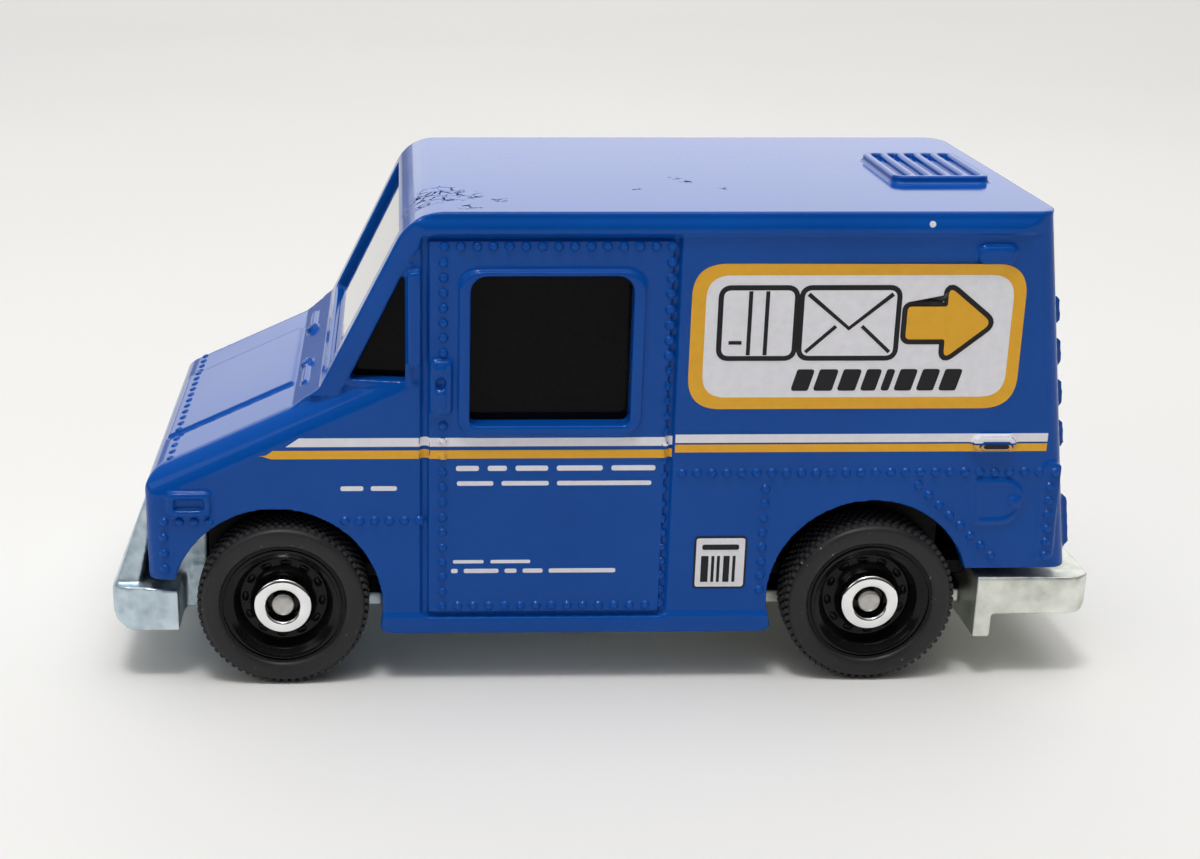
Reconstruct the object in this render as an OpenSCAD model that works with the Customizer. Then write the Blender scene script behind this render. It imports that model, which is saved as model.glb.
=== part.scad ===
// Die-cast mail delivery truck, about 1:64, front towards -X, up is +Z.
// The origin is on the ground, at the middle of the bumper-to-bumper length.

/* [Overall] */
// Distance between the two axles
wheelbase = 40; // [37:0.5:50]
// Front axle to the face of the front bumper
front_overhang = 11.8; // [11.5:0.1:14]
// Rear axle to the face of the rear bumper
rear_overhang = 15.35; // [15:0.1:18.5]
// Width over the side walls of the body
body_w = 28; // [23:0.5:34]
// Height of the roof above the ground
roof_h = 32.85; // [31:0.1:40]

/* [Body] */
// Wall of the body casting
wall = 1.2; // [0.9:0.05:1.3]
// How far the roof and pillar band stands out from the side walls
band_proud = 0.25; // [0.1:0.05:0.4]
// Height of the roof band
band_h = 1.35; // [1.1:0.05:1.6]
// Height of the sills above the ground
sill_h = 3.65; // [3.4:0.05:4]
// Height of the hood at the foot of the cowl
cowl_h = 19.45; // [18.5:0.1:20.4]
// Height of the hood at the nose
nose_h = 15.65; // [15.2:0.1:16.2]
// Height of the foot of the windshield
shield_foot_h = 20.95; // [20.6:0.1:22]
// Rounding along the top of each fender
fender_round = 1.9; // [1:0.1:2.4]
// Radius of the hood's front edge
nose_round = 2; // [1.6:0.1:2.4]
// Rounding of the roof's front edge
roof_front_round = 3.2; // [1.5:0.1:3.6]
// How much each side of the cab narrows from the door to the cowl
cab_taper = 1.6; // [0.8:0.1:2]
// Gap between the tyre and the wheel arch
arch_gap = 1.2; // [0.9:0.1:1.5]

/* [Door and windows] */
// Length of the sliding door
door_len = 16.2; // [15:0.1:17]
// Width of the grooves around the door
groove_w = 0.55; // [0.3:0.05:0.7]
// Depth of the cast grooves
groove_d = 0.3; // [0.1:0.05:0.4]
// Length of the door window
window_len = 10.55; // [9:0.1:11]
// Height of the door window
window_h = 10.1; // [8.5:0.1:10.5]
// Height of the lower edge of the door window
window_foot_h = 18.65; // [18:0.1:19]
// Width of the windshield pillars
pillar_w = 1.3; // [1:0.1:1.6]

/* [Trim] */
// How far badges, frames and plates stand out of the walls
trim_proud = 0.35; // [0.2:0.05:0.4]
// Length of the marker frame on each fender
marker_len = 2.85; // [2.4:0.05:3.2]
// Height of the door latch plate
latch_h = 3.65; // [3:0.05:4]
// Height of the mirror block
mirror_h = 6.25; // [5:0.05:6.6]
// Width of the mirror block
mirror_w = 1; // [0.8:0.05:1.2]
// Height of the fuel door
fuel_h = 3.1; // [2.6:0.1:3.4]
// Height of a slat on the back
slat_h = 2.3; // [2:0.05:2.5]
// Distance from one slat to the next
slat_pitch = 2.87; // [2.7:0.01:3]
// Number of slats
slat_count = 4; // [2:1:4]
// Length of the roof louvre
louvre_len = 6.7; // [5.5:0.1:7.2]
// Width of the roof louvre
louvre_w = 9.4; // [7:0.2:11]
// Number of louvre slots
louvre_slots = 5; // [3:1:6]
// Depth of the windshield glass below the frame
pane_drop = 0.45; // [0.3:0.05:0.7]

/* [Wheels] */
// Tyre diameter
tyre_d = 11.7; // [9.8:0.1:12.4]
// Tyre width
tyre_w = 3.4; // [2.9:0.1:3.9]
// Diameter of the seat of the tyre on the rim
rim_d = 8.5; // [7.6:0.1:8.8]
// Outer diameter of the chromed hub ring
hub_d = 3.95; // [3.4:0.05:4.4]
// Hole of the chromed hub ring
hub_hole_d = 2.3; // [2.1:0.05:2.5]
// How far the tyre stands out from the side wall
tyre_proud = 0.4; // [0.2:0.1:0.8]
// Axle diameter
axle_d = 1.2; // [1:0.05:1.3]
// Diameter of the head on each end of the axle
axle_head_d = 1.55; // [1.5:0.05:1.8]
// Depth of the hub ring's seat in the rim
hub_seat = 0.9; // [0.8:0.05:1.2]

/* [Base] */
// Floor of the base casting
floor_t = 1; // [0.8:0.1:1.2]
// Height of the underside of the floor
floor_h = 4.1; // [4:0.1:4.4]
// Diameter of the headlamps
lamp_d = 3.2; // [2.6:0.1:3.6]
// Width of the grille slots
grille_w = 10.4; // [8:0.2:11]
// Number of grille slots
grille_slots = 6; // [4:1:7]
// Distance from one grille slot to the next
slot_pitch = 0.9; // [0.8:0.05:1]
// Height of the top of the rear bumper
rear_bumper_h = 7.5; // [7.2:0.1:7.6]
// Height of the band of the rear bumper
rear_bumper_band = 2.7; // [2.2:0.1:3]
// Diameter of the shank of the rivets
rivet_d = 1.2; // [1:0.1:1.4]
// Diameter of the rivet heads
rivet_head_d = 3; // [2.6:0.1:3.4]

/* [Clearances] */
// Radial clearance of the axle in its slots and in the wheels
run_gap = 0.05; // [0.02:0.01:0.08]
// Clearance between castings that drop into each other
drop_gap = 0.1; // [0.05:0.01:0.2]
// Axial clearance at each side of a wheel
side_gap = 0.25; // [0.15:0.05:0.4]

/* [Hidden] */
$fn = 64;
blue = [0.13, 0.27, 0.68];
zinc = [0.66, 0.70, 0.73];
black = [0.04, 0.04, 0.045];
charcoal = [0.12, 0.12, 0.125];
chrome = [0.9, 0.9, 0.9];
steel = [0.6, 0.6, 0.58];
eps = 0.01;
far = 100;

fx = -(front_overhang + wheelbase + rear_overhang) / 2 + front_overhang;
rx = fx + wheelbase;
tyre_r = tyre_d / 2;
hw = body_w / 2;
tyre_out = hw + tyre_proud;
tyre_in = tyre_out - tyre_w;

// Stations along the body, from the axle that each belongs to
nose_x = fx - 9.1;
hood_front_x = fx - 7.6;
hood_rear_x = fx + 0.8;
shield_foot_x = fx + 2.7;
shield_top_x = fx + 8.75;
door_x = fx + 9.6;
window_x = door_x + 2.94;
roof_rear_x = rx + 10.1;
tail_x = rx + 13.5;
tail_h = 8.2;
front_skirt_h = 7.65;
band_foot_h = roof_h - band_h;
hood_slope = atan((cowl_h - nose_h) / (hood_rear_x - hood_front_x));
shield_slope = atan((roof_h - shield_foot_h) / (shield_top_x - shield_foot_x));
tail_slope = atan((tail_x - roof_rear_x) / (roof_h - tail_h));
front_arch_x = fx - 0.4;
rear_arch_x = rx - 0.2;
arch_r = tyre_r + arch_gap;
sill_front_x = front_arch_x + arch_r + 0.1;
sill_rear_x = rear_arch_x - arch_r + 0.4;
skirt_rear_x = rear_arch_x + arch_r;
grille_hw = hw - wall - drop_gap;
grille_top_h = nose_h - 1.35;
front_post_x = fx - 5;
rear_post_x = rx + 6.6;
post_d = rivet_d + 1.8;
head_t = 0.45;
rim_in = tyre_w + 0.1;
bearing_hw = tyre_out - rim_in - side_gap;
bearing_t = 1.4;
web_t = 0.8;
panel_proud = 0.2;
lap = 0.02;
tail_round = 1.3;
roof_corner_r = 2.2;
roof_edge_r = 1.1;
sill_round = 0.8;
well_reach = 5.2;
sill_band_h = 1.35;
insert_t = 0.9;
glass_t = 0.9;
glass_gap = 0.04;
retainer_h = tyre_r + axle_d / 2 + run_gap;

// Points of an arc about c, from angle a0 to a1
function arc(c, r, a0, a1, n = 8) =
    [for (i = [0:n]) c + r * [cos(a0 + (a1 - a0) * i / n), sin(a0 + (a1 - a0) * i / n)]];
// Where the line through p towards a meets the line through q towards b
function meet(p, a, q, b) =
    let (d = a[0] * b[1] - a[1] * b[0], t = ((q - p)[0] * b[1] - (q - p)[1] * b[0]) / d) p + a * t;
function unit(v) = v / norm(v);
function left_of(v) = [-v[1], v[0]];
// A clockwise outline moved inwards by d
function inset(pts, d) = let (n = len(pts)) [for (i = [0:n - 1])
    let (a = unit(pts[i] - pts[(i + n - 1) % n]), b = unit(pts[(i + 1) % n] - pts[i]))
    norm(a - b) < 0.001 ? pts[i] - d * left_of(a)
                        : meet(pts[i] - d * left_of(a), a, pts[i] - d * left_of(b), b)];

// Side outline of the cab and cargo box, clockwise from the hood
function cab_side() =
    let (corner_t = roof_front_round * tan(shield_slope / 2),
         c = [shield_top_x + corner_t, roof_h - roof_front_round])
    concat([[hood_rear_x, 2], [hood_rear_x, cowl_h], [shield_foot_x, shield_foot_h]],
           arc(c, roof_front_round, 90 + shield_slope, 90, 6),
           [[roof_rear_x + 4, roof_h], [tail_x + 6, 2]]);
// Plan outline, narrowing from the door forwards, with round corners at the back
function cab_plan() =
    let (taper_x = hood_rear_x - 1)
    concat([[taper_x, -hw + cab_taper], [taper_x, hw - cab_taper], [door_x, hw]],
           [[tail_x + 8, hw], [tail_x + 8, -hw]], [[door_x, -hw]]);

module side_slab(pts, half) {
    translate([0, half, 0]) rotate([90, 0, 0]) linear_extrude(2 * half) polygon(pts);
}
module plan_slab(pts) { translate([0, 0, -1]) linear_extrude(roof_h + 9) polygon(pts); }
module both_sides() {
    children();
    mirror([0, 1, 0]) children();
}
module bar(x0, x1, half, z0, z1) { translate([x0, -half, z0]) cube([x1 - x0, 2 * half, z1 - z0]); }

// The cab and cargo box, shrunk by d all round
module cab_form(d = 0) {
    intersection() {
        side_slab(inset(cab_side(), d), far);
        plan_slab(inset(cab_plan(), d));
        tail_corners(d);
    }
}
// Upright prism, leaning with the tail, that rounds the two back corners
module tail_corners(d = 0) {
    q = tail_round - d;
    w = hw - d + lap;
    side = q > tail_round / 2
        ? concat([[-d - 2 * tail_round, w + 1]], arc([-d - q, w - q], q, 90, 0, 6))
        : [[-d, w + 1]];
    other = [for (i = [len(side) - 1:-1:0]) [side[i][0], -side[i][1]]];
    translate([tail_x, 0, tail_h]) rotate([0, -tail_slope, 0])
        translate([0, 0, -roof_h]) linear_extrude(3 * roof_h)
            polygon(concat([[-far, -w - 1], [-far, w + 1]], side, other));
}
// The hood and both fenders, shrunk by d all round
module hood_form(d = 0) {
    r = nose_round;
    top_x = nose_x + r * (1 - sin(hood_slope));
    foot = nose_h + (top_x - hood_front_x) * tan(hood_slope) - r * cos(hood_slope);
    slab = concat([[nose_x, 2]], arc([nose_x + r, foot], r, 180, 90 + hood_slope, 5),
                  [[door_x, cowl_h + (door_x - hood_rear_x) * tan(hood_slope)], [door_x, 2]]);
    intersection() {
        side_slab(inset(slab, d), far);
        translate([hood_front_x, 0, nose_h]) rotate([0, -hood_slope, 0]) fender_prism(d);
        plan_slab(nose_plan(d));
    }
}
function nose_plan(d) =
    let (r = 1.1, q = r - d, x = nose_x + d, w = hw - d)
    concat(q > 0 ? arc([x + q, -w + q], q, 270, 180, 5) : [[x, -w]],
           q > 0 ? arc([x + q, w - q], q, 180, 90, 5) : [[x, w]],
           [[door_x, w], [door_x, -w]]);
// Prism along the hood slope with rounded upper edges
module fender_prism(d) {
    r = fender_round;
    translate([-20, 0, -d]) rotate([90, 0, 90]) linear_extrude(60) {
        translate([-hw + d, -40]) square([body_w - 2 * d, 40 - r + d]);
        translate([-hw + r, -r]) square([body_w - 2 * r, r]);
        for (s = [-1, 1]) translate([s * (hw - r), -r + d]) circle(r - d);
    }
}
// Roof and windshield-pillar band that stands a little proud of the walls
module roof_band() {
    outer = cab_side();
    strip_foot = shield_foot_h - 0.6;
    intersection() {
        difference() {
            side_slab(outer, far);
            side_slab(inset(outer, band_h), far + 1);
            translate([-far, -far, -far]) cube([2 * far, 2 * far, far + strip_foot]);
        }
        plan_slab(roof_plan());
        translate([-far, 0, 0]) rotate([90, 0, 90]) linear_extrude(2 * far) band_section();
    }
}
// Plan of the roof, which rounds the two back corners of the band
function roof_plan() =
    let (r = roof_corner_r, x = roof_rear_x + band_proud, w = hw + band_proud,
         front = inset(cab_plan(), -band_proud))
    concat([front[0], front[1], front[2]], arc([x - r, w - r], r, 90, 0, 6),
           arc([x - r, -w + r], r, 0, -90, 6), [front[5]]);
module band_section() {
    r = roof_edge_r;
    w = hw + band_proud;
    translate([-w, 0]) square([2 * w, roof_h - r]);
    translate([-w + r, 0]) square([2 * (w - r), roof_h]);
    for (s = [-1, 1]) translate([s * (w - r), roof_h - r]) circle(r);
}

// Everything cast into the outside of the shell, added to the plain form
module shell_trim() {
    cab_face() vent_frame();
    both_sides() {
        window_frame();
        latch_plate();
        sill_band();
        side_handle();
        mirror_block();
        marker_frame();
        fuel_door();
        side_lamp();
        corner_strip();
        tail_lamp();
    }
    roof_louvre();
    roof_lamp();
    rear_slats();
    hood_panel();
    cowl_wipers();
}
// Draws on the narrowing cab side: the children lie in a plane with +Y outwards
module cab_face() {
    turn = atan(cab_taper / (door_x - hood_rear_x + 1));
    both_sides() translate([door_x, -hw, 0]) rotate([0, 0, -turn]) translate([-door_x, 0, 0]) children();
}
module side_plate(x0, z0, x1, z1, depth, r = 0.3) {
    translate([0, -hw + 0.3, 0]) rotate([90, 0, 0]) linear_extrude(depth + 0.3) round_plate(x0, z0,
        x1, z1, r);
}
module round_plate(x0, z0, x1, z1, r) {
    translate([x0 + r, z0]) square([x1 - x0 - 2 * r, z1 - z0]);
    translate([x0, z0 + r]) square([x1 - x0, z1 - z0 - 2 * r]);
    for (x = [x0 + r, x1 - r], z = [z0 + r, z1 - r]) translate([x, z]) circle(r);
}
module window_frame() {
    rim = 0.75;
    side_plate(window_x - rim, window_foot_h - rim, window_x + window_len + rim,
               window_foot_h + window_h + rim * 0.4, trim_proud, 1.3);
}
function vent_pts(d) =
    let (foot = shield_foot_h + 0.65, back = door_x - 1.3, top = roof_h - 3.85,
         front_foot = [shield_foot_x + 1.85, foot], front_top = [back - 0.05, top])
    inset([front_foot, front_top, [back, top], [back, foot]], -d);
module vent_frame() {
    translate([0, 0.3, 0]) rotate([90, 0, 0]) linear_extrude(0.42) polygon(vent_pts(0.45));
}
module latch_plate() {
    x0 = door_x + 0.35;
    z0 = window_foot_h + 0.8;
    w = 1.4;
    slot = 0.65;
    difference() {
        side_plate(x0, z0, x0 + w, z0 + latch_h, trim_proud);
        translate([x0 + (w - slot) / 2, -hw - 1, z0 + 1.75]) cube([slot, 1.2, 0.75]);
    }
    side_plate(x0 + 0.45, z0 + 0.35, x0 + 0.95, z0 + 1.6, trim_proud + 0.15, 0.2);
    translate([x0 + w / 2, -hw + 0.2, z0 + latch_h - 0.6]) rotate([90, 0, 0])
        cylinder(d = 0.55, h = 0.2 + trim_proud + 0.15);
}
module sill_band() {
    side_plate(sill_front_x - 0.2, sill_h, sill_rear_x + 0.2, sill_h + sill_band_h, trim_proud / 2, 0.6);
}
module side_handle() { side_plate(rx + 6, 16.75, rx + 8.9, 17.8, trim_proud, 0.5); }
module mirror_block() {
    x1 = door_x - 0.1;
    z1 = roof_h - 3.8;
    side_plate(x1 - mirror_w, z1 - mirror_h, x1, z1, trim_proud + 0.1, 0.25);
}
module marker_frame() {
    x0 = fx - 7.5;
    z0 = 12.35;
    h = 1.65;
    edge = 0.42;
    difference() {
        side_plate(x0, z0, x0 + marker_len, z0 + h, trim_proud);
        translate([x0 + edge, -hw - 1, z0 + edge]) cube([marker_len - 2 * edge, 1.15, h - 2 * edge]);
    }
}
module fuel_door() {
    x0 = rx + 6.6;
    z0 = 11.55;
    difference() {
        fuel_plate(x0, z0, 0, 0.18);
        translate([0, -0.18, 0]) fuel_plate(x0, z0, 0.25, 0.3);
    }
    translate([x0 + 2.6, -hw + 0.2, z0 + fuel_h / 2]) rotate([90, 0, 0])
        cylinder(d = 0.7, h = 0.2 + trim_proud);
}
// Plate with a half-round rear edge, smaller by d all round
module fuel_plate(x0, z0, d, depth) {
    flat = 1.7;
    translate([0, -hw + 0.1, 0]) rotate([90, 0, 0]) linear_extrude(depth + 0.1) {
        translate([x0 + d, z0 + d]) square([flat - d, fuel_h - 2 * d]);
        translate([x0 + flat, z0 + fuel_h / 2]) circle(fuel_h / 2 - d);
    }
}
module side_lamp() { side_plate(rx + 5.2, roof_h - 3.35, rx + 7.55, roof_h - 2.2, trim_proud, 0.4); }
module corner_strip() { side_plate(rx + 11, 9, rx + 12.2, 15.8, trim_proud / 2, 0.3); }
module on_tail(z) {
    translate([tail_x - (z - tail_h) * tan(tail_slope), 0, z]) rotate([0, -tail_slope, 0]) children();
}
module tail_lamp() {
    on_tail(9.1) translate([-0.4, -hw + 1.3, 0]) side_chamfer(0.9, 2.2, 4.1);
}
// A block of depth d, width w and height h with a sloped top and bottom
module side_chamfer(d, w, h) {
    c = d / 2;
    translate([0, w, 0]) rotate([90, 0, 0])
        linear_extrude(w) polygon([[0, 0], [c, 0], [d, c], [d, h - c], [c, h], [0, h]]);
}
module rear_slats() {
    inset_y = 1.6;
    for (i = [0:slat_count - 1]) on_tail(24.8 - slat_pitch * i) translate([-0.4, -hw + inset_y, 0])
        side_chamfer(0.85, body_w - 2 * inset_y, slat_h);
}
module roof_louvre() {
    x0 = rx + 1.85;
    edge = 0.6;
    half = louvre_w / 2;
    pitch = (louvre_len - edge) / louvre_slots;
    proud = 0.5;
    difference() {
        translate([0, 0, roof_h - 0.3]) linear_extrude(0.3 + proud)
            round_plate(x0, -half, x0 + louvre_len, half, 0.8);
        for (i = [0:louvre_slots - 1])
            bar(x0 + edge + i * pitch, x0 + (i + 1) * pitch, half - edge, roof_h + 0.05, roof_h + 1);
    }
}
module roof_lamp() { bar(roof_rear_x - 0.5, roof_rear_x + 0.6, 3.4, roof_h - 0.95, roof_h - 0.25); }
module hood_panel() {
    len = (hood_rear_x - hood_front_x - 0.2) / cos(hood_slope);
    translate([hood_front_x, 0, nose_h]) rotate([0, -hood_slope, 0])
        bar(-0.6, len, hw / 2, -0.3, panel_proud);
}
// Two wiper arms lying across the cowl, each on its pivot
module cowl_wipers() {
    cowl_slope = atan((shield_foot_h - cowl_h) / (shield_foot_x - hood_rear_x));
    arm = 5;
    pivot_d = 0.9;
    translate([hood_rear_x, 0, cowl_h]) rotate([0, -cowl_slope, 0]) for (s = [-1, 1])
        translate([0.9, s * 4.5, 0]) {
            translate([0, 0, -0.3]) cylinder(d = pivot_d, h = 0.3 + trim_proud);
            translate([-0.2, s > 0 ? -0.4 : 0.4 - arm, -0.3]) cube([0.4, arm, 0.5]);
        }
}
// What is cut out of the shell: the inside, windows, arches, grooves and grille
module shell_cuts() {
    cab_form(wall);
    hood_form(wall);
    translate([0, 0, -eps]) bar(-far, far, far, -far, sill_h);
    bar(-far, sill_front_x - 1.5, far, -1, front_skirt_h);
    bar(sill_rear_x + 1.5, far, far, -1, tail_h);
    sill_corner(sill_front_x, 1);
    sill_corner(sill_rear_x, -1);
    wheel_arch(front_arch_x, tyre_r - 0.25, arch_r + 0.1);
    wheel_arch(rear_arch_x, tyre_r + 0.45, arch_r - 0.2);
    bar(-far, nose_x + 1.3, grille_hw + drop_gap, -1, grille_top_h + drop_gap);
    both_sides() {
        translate([0, -hw + 2, 0]) rotate([90, 0, 0]) linear_extrude(3) polygon(window_pts());
        door_grooves();
    }
    cab_face() translate([0, 2, 0]) rotate([90, 0, 0]) linear_extrude(3) polygon(vent_pts(0));
    shield_prism(0, -1, wall + 1);
}
// Rounds the lower corner of both sills at x; s is 1 where the sill starts and -1 where it ends
module sill_corner(x, s) {
    r = sill_round;
    foot = sill_h - 1;
    translate([x - s * 0.2, far, 0]) rotate([90, 0, 0]) linear_extrude(2 * far) scale([s, 1])
        polygon(concat(arc([r, sill_h + r], r, 270, 180, 5), [[-1, sill_h + r], [-1, foot], [r, foot]]));
}
// Door window, with larger corners at the top than at the foot
function window_pts() =
    let (x0 = window_x, x1 = window_x + window_len, z0 = window_foot_h, z1 = window_foot_h + window_h,
         r = 1.1, f = 0.4)
    concat(arc([x0 + r, z1 - r], r, 180, 90, 6), arc([x1 - r, z1 - r], r, 90, 0, 6),
           arc([x1 - f, z0 + f], f, 0, -90, 4), arc([x0 + f, z0 + f], f, -90, -180, 4));
module wheel_arch(x, z, r) {
    translate([x, far, z]) rotate([90, 0, 0]) cylinder(r = r, h = 2 * far, $fn = 96);
}
module door_grooves() {
    y = -hw - 1;
    top = band_foot_h - 0.2;
    for (x = [door_x, door_x + door_len]) translate([x - groove_w / 2, y, sill_h + sill_band_h])
        cube([groove_w, 1 + groove_d, top - sill_h - sill_band_h]);
    translate([door_x, y, top - 0.3]) cube([door_len, 1 + groove_d, 0.3]);
    translate([door_x, y, sill_h + sill_band_h - 0.15]) cube([door_len, 1 + groove_d, 0.3]);
}
// Prism through the windshield opening, square to the glass, from depth a to depth b,
// smaller by d all round
module shield_prism(d, a, b) {
    len = (roof_h - shield_foot_h) / sin(shield_slope);
    foot = 0.9 + d;
    head = len - 1.9 - d;
    half = hw - cab_taper - pillar_w + 0.1 - d;
    flare = 0.9;
    translate([shield_foot_x, 0, shield_foot_h]) rotate([0, 90 - shield_slope, 0])
        translate([a, 0, 0]) rotate([90, 0, 90]) linear_extrude(b - a)
            polygon([[-half, foot], [half, foot], [half + flare, head], [-half - flare, head]]);
}
module post(x, top) {
    difference() {
        translate([x, 0, floor_h + floor_t]) cylinder(d = post_d, h = top - floor_h - floor_t);
        translate([x, 0, 0]) cylinder(d = rivet_d, h = floor_h + floor_t + 4);
    }
}
module body_shell() {
    color(blue) {
        difference() {
            union() {
                cab_form();
                hood_form();
                roof_band();
                shell_trim();
            }
            shell_cuts();
        }
        post(front_post_x, nose_h + 0.6);
        post(rear_post_x, roof_h - wall + 0.2);
        post_web();
    }
}
// Web that ties the long rear post to the back wall
module post_web() {
    foot = roof_h - 9;
    top = roof_h - wall + 0.1;
    side_slab([[rear_post_x, foot], [rear_post_x, top], [roof_rear_x - wall / 2, top],
               [roof_rear_x + (top - foot) * tan(tail_slope) - wall / 2, foot]], 0.5);
}

module base_plate() {
    hw_in = hw - wall - drop_gap;
    color(zinc) difference() {
        union() {
            bar(door_x, sill_rear_x, hw_in, floor_h, floor_h + floor_t);
            bar(sill_front_x, door_x + eps, hw_in - cab_taper / 4, floor_h, floor_h + floor_t);
            bar(nose_x + 1.5, tail_x - 1.6, tyre_in - 0.6, floor_h, floor_h + floor_t);
            bar(skirt_rear_x + 0.6, tail_x - 1.4, hw_in, floor_h, floor_h + floor_t);
            grille_wedge();
            for (x = [fx, rx]) bearings(x);
            rear_bumper();
            underside();
            well_webs();
        }
        for (x = [front_post_x, rear_post_x]) {
            translate([x, 0, 0]) cylinder(d = rivet_d + 0.2, h = 20);
            translate([x, 0, 0]) cylinder(d = rivet_head_d + 0.4, h = floor_h + 0.4);
            translate([x, 0, floor_h + floor_t]) cylinder(d = post_d + 2 * drop_gap, h = 20);
        }
        for (x = [fx, rx]) axle_slot(x);
    }
}
// Upright webs beside the front wheels and a short one behind each
module well_webs() {
    inner = tyre_in - 0.6;
    x0 = fx - 8.3;
    x1 = fx - well_reach - drop_gap;
    both_sides() {
        translate([x0, -inner, floor_h]) cube([x1 - x0, web_t, 8.4]);
        translate([sill_front_x + 0.15, -hw + 2, floor_h]) cube([web_t, 1.25, 5.2]);
    }
}
module bearings(x) {
    for (y = [-bearing_hw + bearing_t / 2, bearing_hw - bearing_t / 2])
        translate([x - 1.6, y - bearing_t / 2, floor_h]) cube([3.2, bearing_t, retainer_h - floor_h
            - drop_gap]);
}
module axle_slot(x) {
    r = axle_d / 2 + run_gap;
    translate([x, bearing_hw + 1, tyre_r]) rotate([90, 0, 0]) cylinder(r = r, h = 2 * bearing_hw + 2);
    bar(x - r, x + r, bearing_hw + 1, tyre_r, tyre_r + 5);
}
// Slanted zinc front with grille, lamps and front bumper
module grille_wedge() {
    top_x = fx - 8.69;
    face_x = fx - front_overhang + 0.35;
    foot_h = 6.9;
    lean = atan((top_x - face_x) / (grille_top_h - foot_h));
    lamp_y = grille_hw - 3.8;
    lamp_z = 3.6;
    difference() {
        union() {
            side_slab([[face_x, foot_h - 1], [face_x, foot_h], [top_x, grille_top_h],
                       [top_x + 0.8, grille_top_h], [face_x + 1.6, foot_h], [face_x + 1.6, foot_h - 1]],
                      grille_hw);
            bumper_front();
        }
        translate([face_x, 0, foot_h]) rotate([0, lean, 0]) {
            for (i = [0:grille_slots - 1]) translate([-1, -grille_w / 2, 1.5 + i * slot_pitch])
                cube([1.4, grille_w, slot_pitch / 2]);
            for (s = [-1, 1]) translate([-1, s * lamp_y, lamp_z]) rotate([0, 90, 0])
                cylinder(d = lamp_d + 0.7, h = 1.35);
        }
    }
    translate([face_x, 0, foot_h]) rotate([0, lean, 0]) for (s = [-1, 1]) {
        translate([-0.05, s * lamp_y, lamp_z]) rotate([0, 90, 0]) cylinder(d = lamp_d, h = 0.8);
        translate([-0.25, s * lamp_y - lamp_d / 2, lamp_z + 2.7]) cube([0.6, lamp_d, 1.1]);
    }
}
module bumper_front() {
    x0 = fx - front_overhang;
    bottom = sill_h + 0.1;
    side_hw = hw - 0.5;
    x1 = fx - 7.1;
    r = 1.6;
    intersection() {
        side_slab([[x0 + 0.35, 6.9], [x0, 6.5], [x0, 5], [x0 + 0.3, 4.35], [x0 + 1.2, bottom],
                   [x1, bottom], [x1, 6.6], [fx - 9.3, 6.9]], far);
        plan_slab(concat(arc([x0 + r, -side_hw + r], r, 270, 180, 5),
                         arc([x0 + r, side_hw - r], r, 180, 90, 5), [[x1, side_hw], [x1, -side_hw]]));
    }
}
module rear_bumper() {
    x1 = rx + rear_overhang;
    x0 = skirt_rear_x + 0.55;
    foot = rear_bumper_h - rear_bumper_band;
    foot_h = 3.05;
    t = 1.2;
    r = 1.5;
    difference() {
        intersection() {
            side_slab([[x0, foot], [x0, rear_bumper_h], [x1 - 0.2, rear_bumper_h], [x1, rear_bumper_h - 0.2],
                       [x1, foot + 0.7], [x1 - 0.6, foot]], far);
            plan_slab(concat([[x0, -hw], [x0, hw]], arc([x1 - r, hw - r], r, 90, 0, 5),
                             arc([x1 - r, -hw + r], r, 0, -90, 5)));
        }
        bar(x0 + t, x1 - t, hw - t, foot - 1, foot + 1.6);
    }
    bar(x0, x0 + t, hw, foot_h, foot + eps);
    bar(x0, x0 + t, tyre_in, foot, rear_bumper_h);
}
// Drive line, silencer and tank cast under the floor
module underside() {
    z = floor_h;
    translate([fx + 3, 0, z]) rotate([0, 90, 0]) cylinder(d = 1.2, h = wheelbase - 6);
    translate([fx + 3.5, 0, z + 0.1]) rotate([0, 90, 0]) cylinder(d = 2, h = 6);
    bar(fx + 2, fx + 8, 2.2, z - 0.7, z + 0.2);
    translate([fx + 12, 5, z - 0.6]) cube([9, 3, 0.8]);
    translate([fx + 12, -9.5, z - 0.6]) cube([11, 4, 0.8]);
}

// Black glazing: windshield, vent windows and door panes in one moulding
module window_insert() {
    gap = wall + glass_gap;
    color(black) {
        difference() {
            intersection() {
                cab_form(gap);
                bar(hood_rear_x, door_x + door_len - 1, far, window_foot_h - 1.1, roof_h);
            }
            intersection() {
                cab_form(gap + glass_t);
                bar(-far, far, far, 0, far);
            }
        }
        shield_prism(drop_gap, pane_drop, gap + glass_t / 2);
    }
}
// Black insert that closes the axle slots and fills the wheel wells
module axle_retainer() {
    top = retainer_h + 0.02;
    roof = tyre_r + arch_r + 0.9;
    well_half = 3;
    color(black) difference() {
        union() {
            bar(fx - well_half, skirt_rear_x + 0.45, bearing_hw, top, top + insert_t);
            for (x = [fx, rx]) {
                bar(x - well_half, x + well_half, bearing_hw, roof, roof + insert_t);
                both_sides() translate([x - well_reach, -bearing_hw, top])
                    cube([2 * well_reach, insert_t, roof + insert_t - top]);
            }
            bar(door_x, sill_rear_x - 1.5, hw - wall - drop_gap, top, top + insert_t);
        }
        translate([rear_post_x, 0, 0]) cylinder(d = post_d + 2 * drop_gap, h = far);
    }
}
module rivet(x) {
    color(zinc) translate([x, 0, 0]) {
        translate([0, 0, floor_h - 0.3]) cylinder(d = rivet_d - 0.04, h = floor_t + 3.6);
        translate([0, 0, floor_h - 0.3]) cylinder(d = rivet_head_d, h = 0.7 - drop_gap / 10);
    }
}
module front_rivet() { rivet(front_post_x); }
module rear_rivet() { rivet(rear_post_x); }

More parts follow.
